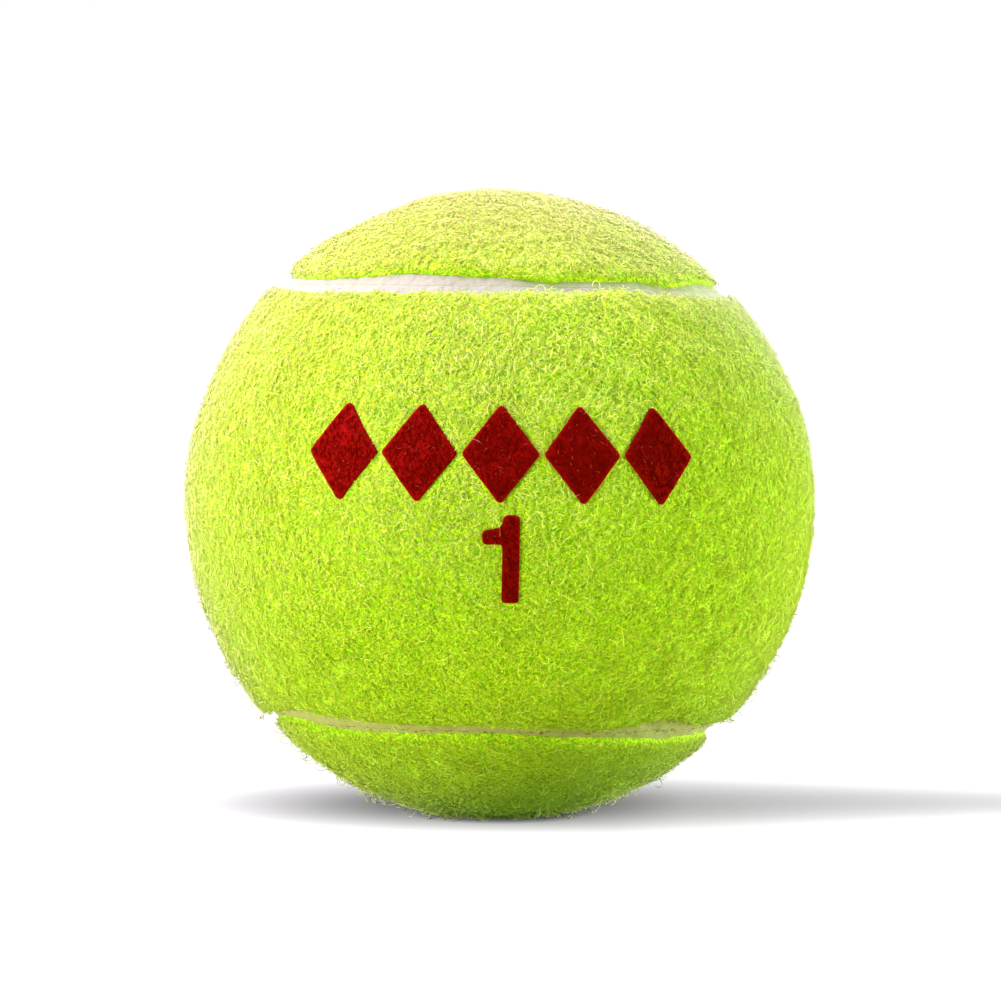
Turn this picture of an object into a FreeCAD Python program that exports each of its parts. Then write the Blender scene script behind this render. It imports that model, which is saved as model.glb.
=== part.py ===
"""A tennis ball: a hollow rubber core in two halves, two felt covers and the pale seam between them.

Millimetres. The origin is the centre of the ball and +Z is up. -Y is the front, where the print is.

The seam is four half circles, each 45 degrees round its own lobe axis. The front cover has its waist
at the front and its lobes round +X and -X at the back. The back cover has its waist at the back and
its lobes round +Z and -Z at the front. Half a turn about the line X = Z swaps the two, so every piece
of a cover is drawn once, as a profile in the XZ plane that is turned round Z for the waist and round X
for the lobes.
"""

import math
import os

import FreeCAD, Part
from FreeCAD import Vector

# Core: two moulded half shells, joined and coated with rubber cement

core_outer_diameter = 60.0
core_wall = 3.3
joint_thickness = 0.15  # cement between the two halves
joint_bead_radius = 0.5  # cement pressed out into the cavity
coat_thickness = 0.15  # cement all over the outside

# Covers: felt with a rubbered back, cut as two dumbbells

backing_thickness = 0.5
felt_thickness = 2.85  # woven cloth and its raised nap
shoulder_radius = 1.2  # rounding of the nap towards the seam

# Seam: pale cement on the cut edges of the two covers

edging_width = 1.05  # on one cover; two of them make the seam
seam_depth = 1.25  # from the top of the nap down to the seam

# Stand: how the ball lies on the floor

nap_press = 0.8  # how far the nap is pressed flat
stand_pitch = -3.3  # degrees about X: the print looks a little upwards
stand_roll = 1.0  # degrees about Y: the seam dips a little to the right

# Print: ink soaked into the nap at the front

ink_depth = 0.3
print_gap = 0.7  # from the row of lozenges down to the number

lozenge_count = 5
lozenge_width = 8.0
lozenge_height = 10.8
lozenge_gap = 0.6
lozenge_corner_radius = 0.4
lozenge_foot = 0.4  # height of the row's foot over the ball's middle

number_height = 8.9
number_offset = 1.2  # the stem's middle, to the right of the ball's middle
stem_width = 1.75
stem_top_radius = 0.6
stem_foot_radius = 0.3
flag_reach = 2.05  # from the stem to the tip of the flag
flag_height = 1.4  # at its tip
flag_drop = 1.6  # from the top of the number to the top of the flag's tip
flag_rise = 0.35  # how much the flag climbs towards the stem
flag_tip_radius = 0.45
flag_root_radius = 0.7

# Radii from the middle outwards, and where the covers end

core_radius = core_outer_diameter / 2
cavity_radius = core_radius - core_wall
coat_radius = core_radius + coat_thickness
backing_radius = coat_radius + backing_thickness
ball_radius = backing_radius + felt_thickness
edging_radius = ball_radius - seam_depth
seam_angle = math.pi / 4  # only at this angle do four half circles meet in one smooth line
cover_angle = seam_angle - edging_width / edging_radius
floor_height = nap_press - ball_radius

CENTRE = Vector(0, 0, 0)
X_AXIS = Vector(1, 0, 0)
Y_AXIS = Vector(0, 1, 0)
Z_AXIS = Vector(0, 0, 1)
SWAP_AXIS = Vector(1, 0, 1)
HALF_TURN = 180


def turned(shape, axis, degrees):
    copy = shape.copy()
    copy.rotate(CENTRE, axis, degrees)
    return copy


# Profiles in the XZ plane


def at(radius, angle):
    """Point at a radius from the centre and an angle up from +X."""
    return Vector(radius * math.cos(angle), 0, radius * math.sin(angle))


def arc(radius, start, end):
    """Arc round the centre of the ball, from one angle to another."""
    middle = (start + end) / 2
    return Part.Arc(at(radius, start), at(radius, middle), at(radius, end)).toShape()


def line(start, end):
    return Part.LineSegment(start, end).toShape()


def face_of(edges):
    return Part.Face(Part.Wire(edges))


def layer_profile(inner, outer, low, high):
    """Layer between two radii and two angles."""
    return face_of(
        [
            arc(inner, low, high),
            line(at(inner, high), at(outer, high)),
            arc(outer, high, low),
            line(at(outer, low), at(inner, low)),
        ]
    )


def shouldered_profile(inner, outer, low, high, rounding):
    """The same layer with its corner at the outer radius and the high angle rounded."""
    turn = math.asin(rounding / (outer - rounding))
    rounding_centre = at(outer - rounding, high - turn)
    wall_end = at((outer - rounding) * math.cos(turn), high)
    face_end = at(outer, high - turn)
    outwards = (wall_end - rounding_centre).normalize() + (face_end - rounding_centre).normalize()
    rounding_middle = rounding_centre + outwards.normalize() * rounding
    return face_of(
        [
            arc(inner, low, high),
            line(at(inner, high), wall_end),
            Part.Arc(wall_end, rounding_middle, face_end).toShape(),
            arc(outer, high - turn, low),
            line(at(outer, low), at(inner, low)),
        ]
    )


def front_form(profile):
    """Turns a profile round Z past the front for the waist, and round X past the back for the lobes."""
    waist = profile.revolve(CENTRE, -Z_AXIS, HALF_TURN)
    lobe = profile.revolve(CENTRE, -X_AXIS, HALF_TURN)
    other_half = [turned(piece, Y_AXIS, HALF_TURN) for piece in (waist, lobe)]
    return waist.fuse([lobe] + other_half).removeSplitter()


def back_form(front):
    """The same piece on the other cover."""
    return turned(front, SWAP_AXIS, HALF_TURN)


# Core


def shell(inner, outer):
    return Part.makeSphere(outer).cut(Part.makeSphere(inner))


def slab(low, high):
    """Flat block between two heights, wider than the ball."""
    reach = 2 * ball_radius
    return Part.makeBox(2 * reach, 2 * reach, high - low, Vector(-reach, -reach, low))


def core_half_upper():
    return shell(cavity_radius, core_radius).common(slab(joint_thickness / 2, 2 * core_radius))


def core_half_lower():
    return turned(core_half_upper(), X_AXIS, HALF_TURN)


def core_joint():
    """Flat ring of cement between the halves, with the bead that is pressed out into the cavity."""
    half_joint = joint_thickness / 2
    ring = shell(cavity_radius, core_radius).common(slab(-half_joint, half_joint))
    bead = Part.makeTorus(cavity_radius, joint_bead_radius).common(Part.makeSphere(cavity_radius))
    return ring.fuse(bead).removeSplitter()


def core_coat():
    return shell(core_radius, coat_radius)


# Covers and seam


def backing():
    return front_form(layer_profile(coat_radius, backing_radius, 0, cover_angle))


def felt():
    profile = shouldered_profile(backing_radius, ball_radius, 0, cover_angle, shoulder_radius)
    return front_form(profile)


def edging():
    return front_form(layer_profile(coat_radius, edging_radius, cover_angle, seam_angle))


# Print


def rounded_outline(corners):
    """Closed outline in the XZ plane through corners (x, z, radius of the rounding)."""
    points = [Vector(x, 0, z) for x, z, _ in corners]
    roundings = []
    for i, (_, _, radius) in enumerate(corners):
        back = (points[i - 1] - points[i]).normalize()
        ahead = (points[(i + 1) % len(points)] - points[i]).normalize()
        half_angle = back.getAngle(ahead) / 2
        start = points[i] + back * (radius / math.tan(half_angle))
        end = points[i] + ahead * (radius / math.tan(half_angle))
        bisector = (back + ahead).normalize()
        middle = points[i] + bisector * (radius / math.sin(half_angle) - radius)
        roundings.append((start, middle, end))
    edges = []
    for i, (start, middle, end) in enumerate(roundings):
        edges.append(Part.Arc(start, middle, end).toShape())
        edges.append(line(end, roundings[(i + 1) % len(roundings)][0]))
    return face_of(edges)


def soaked_ink(outline, cover):
    """The outer layer of a cover behind an outline, at the front of the ball."""
    column = outline.extrude(-Y_AXIS * (2 * ball_radius))
    outer_layer = shell(ball_radius - ink_depth, ball_radius)
    return column.common(outer_layer).common(cover)


def printed_number(cover):
    """The figure 1: a round-topped stem with a flag that climbs to it from the left."""
    right = number_offset + stem_width / 2
    left = right - stem_width
    tip = left - flag_reach
    top = lozenge_foot - print_gap
    foot = top - number_height
    flag_top = top - flag_drop
    flag_foot = flag_top - flag_height
    corners = [
        (left, foot, stem_foot_radius),
        (right, foot, stem_foot_radius),
        (right, top, stem_top_radius),
        (left, top, stem_top_radius),
        (left, flag_top + flag_rise, flag_root_radius),
        (tip, flag_top, flag_tip_radius),
        (tip, flag_foot, flag_tip_radius),
        (left, flag_foot, stem_foot_radius),
    ]
    return soaked_ink(rounded_outline(corners), cover)


def printed_lozenges(cover):
    """A row of equal lozenges round the front of the ball."""
    middle = lozenge_foot + lozenge_height / 2
    corners = [
        (0, lozenge_foot, lozenge_corner_radius),
        (lozenge_width / 2, middle, lozenge_corner_radius),
        (0, lozenge_foot + lozenge_height, lozenge_corner_radius),
        (-lozenge_width / 2, middle, lozenge_corner_radius),
    ]
    lozenge = soaked_ink(rounded_outline(corners), cover)
    pitch = math.degrees((lozenge_width + lozenge_gap) / ball_radius)
    places = [(i - (lozenge_count - 1) / 2) * pitch for i in range(lozenge_count)]
    return Part.makeCompound([turned(lozenge, Z_AXIS, place) for place in places])


# The ball as it stands


def standing(shape):
    """Turns a piece from the seam's own axes to how the ball stands."""
    return turned(turned(shape, X_AXIS, stand_pitch), Y_AXIS, stand_roll)


def pressed(shape):
    """Cuts off what the floor presses flat."""
    return shape.common(slab(floor_height, 2 * ball_radius))


def ball_pieces():
    whole_felt = felt()
    number = printed_number(whole_felt)
    lozenges = printed_lozenges(whole_felt)
    return {
        "core_half_upper": core_half_upper(),
        "core_half_lower": core_half_lower(),
        "core_joint_cement": core_joint(),
        "core_coat": core_coat(),
        "backing_front": standing(backing()),
        "backing_back": standing(back_form(backing())),
        "felt_front": pressed(standing(whole_felt.cut([number, lozenges]))),
        "felt_back": pressed(standing(back_form(whole_felt))),
        "seam_edging_front": standing(edging()),
        "seam_edging_back": standing(back_form(edging())),
        "printed_number": standing(number),
        "printed_lozenges": standing(lozenges),
    }


def save(name, shape):
    """Writes a piece's solids to its own file."""
    solids = shape.Solids
    body = solids[0] if len(solids) == 1 else Part.makeCompound(solids)
    body.exportStep(os.path.join("parts", name + ".step"))
    volume = sum(solid.Volume for solid in solids)
    print(f"{name:18s} solids {len(solids)}  valid {body.isValid()}  volume {volume:8.2f} mm3")


def main():
    os.makedirs("parts", exist_ok=True)
    for name, shape in ball_pieces().items():
        save(name, shape)


main()
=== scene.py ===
"""A felt tennis ball on a pale floor, dressed round its CAD frame.

A cover is worked out in its own axes, in which its waist faces -Y and its lobes lie round +X and -X.
Half a turn about the line X = Z takes the front cover to the back one, and a small pitch and roll then
take both to how the ball stands.
"""

import math
from dataclasses import dataclass

import bmesh
import bpy
import numpy as np
from bpy.props import FloatProperty, FloatVectorProperty, IntProperty, PointerProperty
from bpy.types import Operator, Panel, PropertyGroup
from mathutils import Matrix, Vector


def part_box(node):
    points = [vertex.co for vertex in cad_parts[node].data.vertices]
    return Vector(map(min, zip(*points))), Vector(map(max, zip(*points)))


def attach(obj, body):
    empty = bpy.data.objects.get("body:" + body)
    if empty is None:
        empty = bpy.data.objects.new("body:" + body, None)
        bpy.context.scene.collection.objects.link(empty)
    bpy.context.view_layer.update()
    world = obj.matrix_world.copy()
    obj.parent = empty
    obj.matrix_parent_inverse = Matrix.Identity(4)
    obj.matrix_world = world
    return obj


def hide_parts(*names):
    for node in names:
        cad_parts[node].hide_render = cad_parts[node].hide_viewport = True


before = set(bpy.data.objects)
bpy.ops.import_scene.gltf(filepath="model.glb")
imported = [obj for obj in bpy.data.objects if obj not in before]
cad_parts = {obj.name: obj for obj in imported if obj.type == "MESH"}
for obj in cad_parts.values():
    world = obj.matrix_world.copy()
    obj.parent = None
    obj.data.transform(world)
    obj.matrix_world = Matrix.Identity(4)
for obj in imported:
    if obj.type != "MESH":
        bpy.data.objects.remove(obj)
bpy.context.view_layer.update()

bl_info = {
    "name": "Tennis ball",
    "version": (1, 0, 0),
    "blender": (4, 5, 0),
    "location": "3D View > Sidebar > Ball",
    "description": "Felt covers with their nap, the seam, the print, the core and the stage of a tennis ball",
    "category": "Object",
}

MM = 0.001
BODY = "root"
SEAM_ANGLE = math.pi / 4


def corners_of(node):
    """Corners (n, 3) of a CAD node's mesh."""
    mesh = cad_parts[node].data
    corners = np.empty(len(mesh.vertices) * 3, np.float32)
    mesh.vertices.foreach_get("co", corners)
    return corners.reshape(-1, 3).astype(float)


def reach(node):
    """Largest distance of a CAD node from the centre of the ball."""
    return float(np.linalg.norm(corners_of(node), axis=1).max())


BALL_RADIUS = reach("felt_front")
SEAM_RADIUS = reach("seam_edging_front")
BACKING_RADIUS = reach("backing_front")
COAT_RADIUS = reach("core_coat")
FLOOR_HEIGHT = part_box("felt_back")[0].z


# Sizes and colours


def number(name, description, default, **kind):
    return FloatProperty(name=name, description=description, default=default, **kind)


def length(name, description, millimetres):
    return number(name, description, millimetres * MM, unit="LENGTH")


def angle(name, description, degrees):
    return number(name, description, math.radians(degrees), subtype="ANGLE")


def whole(name, description, default):
    return IntProperty(name=name, description=description, default=default)


def colour(name, description, *rgb):
    return FloatVectorProperty(
        name=name, description=description, default=rgb, subtype="COLOR", size=3, min=0.0, max=1.0
    )


class BallFelt(PropertyGroup):
    pitch: angle("Pitch", "Turn about X as the ball stands", -3.3)
    roll: angle("Roll", "Turn about Y as the ball stands", 1.0)
    nap_height: length("Nap height", "From the mat of the felt to the top of its nap", 0.55)
    seam_gap: length("Seam gap", "From the middle of the seam to a cover's edge", 1.05)
    edge_wander: length("Edge wander", "How far a cover's cut edge strays", 0.1)
    shoulder: length("Shoulder", "Width of the rounding at a cover's edge", 1.5)
    swell: length("Swell", "Height of the wide, low waves in the felt", 0.09)
    lump: length("Lump", "Height of the small lumps in the felt", 0.05)
    # Painted shade: the darkest felt fills the low places of the mat's grain, and the deep felt, darker than
    # the fibres' tips, stands for the felt in shade under the nap
    dark: colour("Darkest felt", "Colour of the deepest gaps", 0.15, 0.44, 0.001)
    deep: colour("Deep felt", "Colour of the felt deep in its nap", 0.46, 0.77, 0.003)
    fine: colour("Fine fibres", "Colour of the finest fibres", 0.78, 0.92, 0.036)
    bright: colour("Bright fibres", "Colour of the brightest of the finest fibres", 0.90, 0.96, 0.14)


class BallNap(PropertyGroup):
    under_count: whole("Under fibres", "Short fibres on each cover", 62000)
    curl_count: whole("Curls", "Curved fibres on each cover", 34000)
    stray_count: whole("Strays", "Long loose fibres on each cover", 1000)
    thickness: length("Thickness", "Across a fibre", 0.07)
    # Painted shade: a fibre goes darker and greener from its tip to its root, standing in for the shade and
    # the light bounced among fibres deep in the nap
    root: colour("Fibre root", "Colour of a fibre where it leaves the mat", 0.32, 0.66, 0.003)
    tip: colour("Fibre tip", "Colour of a fibre at its tip", 0.84, 0.94, 0.06)
    pale: colour("Pale fibre", "Colour of the palest fibres", 0.93, 0.97, 0.31)
    seed: whole("Seed", "Start of the random draws", 7)


class BallSeam(PropertyGroup):
    half_width: length("Half width", "From the middle of the seam to under a cover's edge", 2.9)
    joint_dip: length("Joint dip", "How far the middle of the seam is sunk", 0.005)
    wave: length("Wave", "Height of the waves along the seam", 0.05)
    # Painted light: the seam's colour goes from the upper colour at the top to the lighter, pinker lower
    # colour at the bottom, to make up for the shade low down and for the tinted lamps above
    clean: colour("Clean seam", "Colour of the seam's cement", 0.285, 0.345, 0.225)
    lower_tone: colour("Dull seam", "Colour of the worn and dusty cement", 0.37, 0.35, 0.36)
    fleck: colour("Flecks", "Colour of the specks and pits", 0.17, 0.12, 0.035)


class BallPrint(PropertyGroup):
    lift: length("Lift", "From the mat of the felt to the matted, inked nap", 0.2)
    number_top_radius: length("Top rounding", "Rounding at the top of the number", 0.6)
    number_corner_radius: length("Foot rounding", "Rounding at the foot of the number", 0.3)
    number_stem: length("Stem", "Width of the number's stem", 1.75)
    number_flag: length("Flag", "Height of the number's flag at its tip", 1.4)
    number_drop: length("Flag drop", "From the number's top to its flag", 1.6)
    number_rise: length("Flag rise", "How much the flag climbs towards the stem", 0.35)
    number_tip_radius: length("Tip rounding", "Rounding at the tip of the flag", 0.45)
    number_root_radius: length("Root rounding", "Rounding where the flag meets the stem", 0.7)
    lozenge_count: whole("Lozenges", "Lozenges in the row", 5)
    lozenge_width: length("Lozenge width", "Across one lozenge", 8.0)
    lozenge_gap: length("Lozenge gap", "Between two lozenges", 0.6)
    lozenge_corner_radius: length("Lozenge rounding", "Rounding at a lozenge's corners", 0.4)
    fibres_per_mm2: number("Inked fibres", "Inked fibres on a square millimetre", 20)
    ink: colour("Ink", "Colour of the ink", 0.215, 0.002, 0.0015)
    ink_dark: colour("Dark ink", "Colour of the ink between the fibres", 0.16, 0.001, 0.001)
    ink_pale: colour("Pale ink", "Colour of fibres that took little ink", 0.42, 0.08, 0.06)


class BallStage(PropertyGroup):
    camera_distance: length("Camera distance", "From the camera to where it aims", 670)
    camera_elevation: angle("Camera elevation", "Angle of the camera above the horizon", 4.5)
    lens: number("Lens", "Focal length in millimetres", 227.8)
    aim_right: length("Aim right", "How far right of the ball's middle the camera aims", 0.12)
    aim_up: length("Aim up", "How far above the ball's middle the camera aims", 0.47)
    floor_size: length("Floor size", "Width of the floor", 6000)
    floor_colour: colour("Floor", "Colour of the light that the floor throws up", 0.40, 0.56, 0.055)
    floor_shade: colour("Floor shade", "Share of the lamps' light seen on the floor", 0.030, 0.032, 0.028)
    shadow_right: length("Shadow right", "From the ball's middle right to where the shadow is darkest", 5)
    shadow_back: length("Shadow back", "From the ball's middle back to the middle of the shadow", 8)
    shadow_half_depth: length("Shadow depth", "From the middle of the shadow to its near edge", 25)
    shadow_left_reach: length("Shadow left reach", "From the darkest place to the left end", 37)
    shadow_tail: length("Shadow tail", "From the darkest place to the tip of the long right end", 77)
    tail_darkness: number("Tail darkness", "Darkness of the shadow where its tail starts", 0.56)
    ambient: number("Ambient", "Brightness of the light from all round", 0.02)
    light: number("Light", "Strength of all lamps, as a share of their own", 1.0)


# Meshes

UV_MARGIN = 0.02  # share of a band of the UV map that is left free on either side
RIPPLE_WAVES = 24
MERGE_DISTANCE = 1e-7  # metres between corners that lie in one place


def fill(items, key, values, kind=np.float32):
    """Writes an array into a value of all items of a mesh."""
    items.foreach_set(key, np.asarray(values, kind).ravel())


def mesh_piece(name, points, faces, material, face_uv=None, numbers=None):
    """Puts points (..., 3) and faces (m, corners) into a new object at the origin.

    face_uv (m, corners, 2) is kept as a UV map, and each of numbers, one for a point, as an attribute."""
    mesh = bpy.data.meshes.new(name)
    mesh.vertices.add(points.size // 3)
    fill(mesh.vertices, "co", points)
    mesh.loops.add(faces.size)
    fill(mesh.loops, "vertex_index", faces, np.int32)
    mesh.polygons.add(len(faces))
    fill(mesh.polygons, "loop_start", np.arange(0, faces.size, faces.shape[1]), np.int32)
    if face_uv is not None:
        fill(mesh.uv_layers.new(name="OFBake").data, "uv", face_uv)
    for key, values in (numbers or {}).items():
        fill(mesh.attributes.new(key, "FLOAT", "POINT").data, "value", values)
    mesh.update(calc_edges=True)
    mesh.shade_smooth()
    mesh.materials.append(material)
    piece = bpy.data.objects.new(name, mesh)
    bpy.context.scene.collection.objects.link(piece)
    return piece


def merge_doubles(piece):
    """Joins corners that lie in one place, and drops the faces that this leaves flat."""
    work = bmesh.new()
    work.from_mesh(piece.data)
    bmesh.ops.remove_doubles(work, verts=work.verts, dist=MERGE_DISTANCE)
    work.to_mesh(piece.data)
    work.free()
    piece.data.shade_smooth()


def keep(piece, slot, *nodes):
    """Lets a piece ride on the ball in place of these CAD nodes. The slot is not used."""
    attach(piece, BODY)
    if nodes:
        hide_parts(*nodes)


def ring_grid(rows, columns, bands=1, wrap_rows=False):
    """Quads of a grid whose columns close into a ring, and with wrap_rows its rows too, and their UV
    corners: the ring is cut into equal bands, one above another in the unit square."""
    last = rows if wrap_rows else rows - 1
    row, column = np.meshgrid(np.arange(last), np.arange(columns), indexing="ij")
    next_row, next_column = (row + 1) % rows, (column + 1) % columns
    here, there = row * columns, next_row * columns
    quads = np.stack([here + column, here + next_column, there + next_column, there + column], axis=-1)
    per_band = columns // bands
    left = (column % per_band) / per_band
    right = left + 1 / per_band
    height = (1 - 2 * UV_MARGIN) / last
    low = (column // per_band + UV_MARGIN + height * row) / bands
    high = low + height / bands
    uv = np.stack([left, low, right, low, right, high, left, high], axis=-1)
    return quads.reshape(-1, 4), uv.reshape(-1, 4, 2)


def unit(vectors):
    return vectors / np.linalg.norm(vectors, axis=-1, keepdims=True)


def share(values, start, end):
    """How far values are on their way from start to end, from 0 to 1."""
    return np.clip((values - start) / (end - start), 0, 1)


def ripple(points, scale, seed):
    """Smooth noise of mean 0 and deviation 1: a sum of sine waves, each 0.7 to 1.4 times the scale long and
    in a random direction."""
    rng = np.random.default_rng(seed)
    directions = unit(rng.normal(size=(RIPPLE_WAVES, 3)))
    lengths = scale * rng.uniform(0.7, 1.4, RIPPLE_WAVES)
    phases = rng.uniform(0, 2 * np.pi, RIPPLE_WAVES)
    angles = points @ (directions * (2 * np.pi / lengths)[:, None]).T + phases
    return np.sin(angles).sum(axis=-1) * math.sqrt(2 / RIPPLE_WAVES)


def ripples(points, waves, seed):
    """Ripples added up, each with the height and the scale in millimetres that waves gives."""
    return sum(height * ripple(points, scale * MM, seed + i) for i, (height, scale) in enumerate(waves))


def turned_about_z(points, turn):
    """Points turned by an angle, or each by its own angle, about Z."""
    x, y, z = np.moveaxis(points, -1, 0)
    cosine, sine = np.cos(turn), np.sin(turn)
    return np.stack([x * cosine - y * sine, x * sine + y * cosine, z], axis=-1)


# The covers in their own axes

# What each set of random draws adds to the seed
EDGE_SEED, MAT_SEED, TUFT_SEED, COMB_SEED, BACK_SEED, PRINT_SEED = 0, 2, 20, 30, 500, 900

# Scales of waves in millimetres, those of the edge each with its share of the edge's wander
EDGE_WAVES = ((0.75, 9.0), (0.4, 2.6))
SWELL_SCALE, LUMP_SCALE = 17.0, 4.0
EDGE_FOOT = 0.1 * MM  # from the seam up to the foot of the felt's rounding

# Where a cover's cut edge strays from its even distance to the seam, in millimetres: place across the
# front of the ball, 1 for the upper seam or -1 for the lower one, how much farther the edge is, and over
# what breadth.
CUT_STRAYS = {
    "front": (
        (-17.0, 1, 0.5, 6.0),
        (-9.7, 1, 0.7, 1.6),
        (-3.0, 1, 0.4, 3.5),
        (11.0, 1, -0.6, 4.5),
        (21.0, 1, 0.4, 3.0),
        (-20.0, -1, 1.5, 7.0),
        (0.0, -1, 0.2, 8.0),
        (9.0, -1, -0.3, 4.0),
        (17.0, -1, 1.4, 3.5),
    ),
    "back": (
        (-8.5, 1, 0.8, 6.0),
        (-21.0, 1, -0.4, 4.0),
        (4.0, 1, -0.3, 3.0),
        (18.5, 1, -0.65, 3.0),
        (0.0, -1, -0.8, 12.0),
        (-22.0, -1, -1.9, 10.0),
        (18.5, -1, 0.4, 2.5),
    ),
}


@dataclass
class Cover:
    """One of the two felt covers, front or back, with the felt's sizes and the start of its draws."""

    side: str
    felt: BallFelt
    seed: int

    def swapped(self, points):
        """Takes points between a cover's own axes and the seam's: the back one swaps X and Z and turns Y."""
        return points[..., [2, 1, 0]] * [1, -1, 1] if self.side == "back" else points

    def standing(self, points):
        """Takes points from a cover's own axes to the ball as it stands."""
        return self.swapped(points) @ stand_matrix(self.felt).T

    def edge_gap(self, directions):
        """Distance of the cut edge from the middle of the seam: an even distance, long and short waves, and
        a smooth hump for each of the places where the edge strays."""
        points = self.swapped(directions * BALL_RADIUS)
        waves = ripples(points, EDGE_WAVES, self.seed + EDGE_SEED)
        gap = self.felt.seam_gap + self.felt.edge_wander * waves
        level = BALL_RADIUS * math.sin(SEAM_ANGLE)
        for across, half, stray, breadth in CUT_STRAYS[self.side]:
            place = np.array([across * MM, -math.sqrt(level**2 - (across * MM) ** 2), half * level])
            off = ((points - place) ** 2).sum(axis=-1)
            gap = gap + stray * MM * np.exp(-off / (breadth * MM) ** 2)
        return np.maximum(gap, -self.felt.seam_gap)

    def past_edge(self, directions):
        """Distance over the ball from the cut edge, positive on the cover."""
        return seam_distance(directions) * BALL_RADIUS - self.edge_gap(directions)

    def mat_radius(self, directions):
        """Distance of the felt's mat from the centre: the ball less its nap, with low waves and small lumps,
        and a quarter round down to just above the seam at the cut edge."""
        felt, points = self.felt, directions * BALL_RADIUS
        waves = ripples(points, ((felt.swell, SWELL_SCALE), (felt.lump, LUMP_SCALE)), self.seed + MAT_SEED)
        outwards = 1 - np.clip(self.past_edge(directions) / felt.shoulder, 0, 1)
        top = BALL_RADIUS - felt.nap_height
        drop = (top - SEAM_RADIUS - EDGE_FOOT) * (1 - np.sqrt(1 - outwards**2))
        return top + waves * (1 - outwards) - drop


def cover_direction(run, spread):
    """Unit vectors of a cover in its own axes.

    run goes round the cover from 0 to 4, half a turn for each whole number: the waist's upper side from -X
    past the front to +X, the lobe round +X, the waist's lower side, and the lobe round -X. spread is the
    angle off the cover's middle line: the equator at the waist, which shrinks to +X and -X on the lobes."""
    part = np.floor(run).astype(int) % 4
    turn = (run - np.floor(run)) * np.pi
    along, across = np.cos(turn), np.sin(turn)
    near, off = np.cos(spread), np.sin(spread)
    x = np.choose(part, [-along * near, near, along * near, -near])
    y = np.choose(part, [-across * near, across * off, -across * near, across * off])
    z = np.choose(part, [off, along * off, -off, -along * off])
    return np.stack([x, y, z], axis=-1)


def seam_distance(directions):
    """Angle from the seam in a cover's own axes, positive on the cover: the seam's angle less the latitude
    at the front, and less the angle off the lobe's axis at the back."""
    x, y, z = np.moveaxis(directions, -1, 0)
    latitude = np.arcsin(np.clip(np.abs(z), 0, 1))
    off_axis = np.arccos(np.clip(np.abs(x), 0, 1))
    return SEAM_ANGLE - np.where(y <= 0, latitude, off_axis)


def stand_matrix(felt):
    """Turn from the seam's axes to how the ball stands."""
    return np.array(Matrix.Rotation(felt.roll, 3, "Y") @ Matrix.Rotation(felt.pitch, 3, "X"))


def press(points, clearance):
    """Keeps points of the standing ball above the floor."""
    points[..., 2] = np.maximum(points[..., 2], FLOOR_HEIGHT + clearance)
    return points


def both_covers(scene):
    seed = scene.ball_nap.seed
    return Cover("front", scene.ball_felt, seed), Cover("back", scene.ball_felt, seed + BACK_SEED)


# Materials

# Scales of noise, in grains per metre
FIBRE_GRAIN = 3200.0
FELT_PATCHES = 330.0
SEAM_MOTTLE, SEAM_ROUGH, SEAM_FLECKS, SEAM_PITS = 420.0, 1900.0, 2400.0, 3000.0
RUBBER_GRAIN = 900.0

# Fine lines on the felt: how many in a metre, half their width in the noise, and a shift in metres
FELT_LINES = ((1500.0, 0.08, 0.0), (2100.0, 0.09, 0.3), (1700.0, 0.07, 0.8))

CONTRAST_DIRECTION = (0.05, -0.97, 0.22)  # direction of the place on the ball where the nap has most contrast: its fibres are shaded more by their own normals there, and their tone spreads wider, which is painted light and shade
OWN_NORMAL = (0.22, 0.85)  # share of a fibre's own normal, far from that place and at it
SHEEN_ROUGHNESS = 0.42


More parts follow.
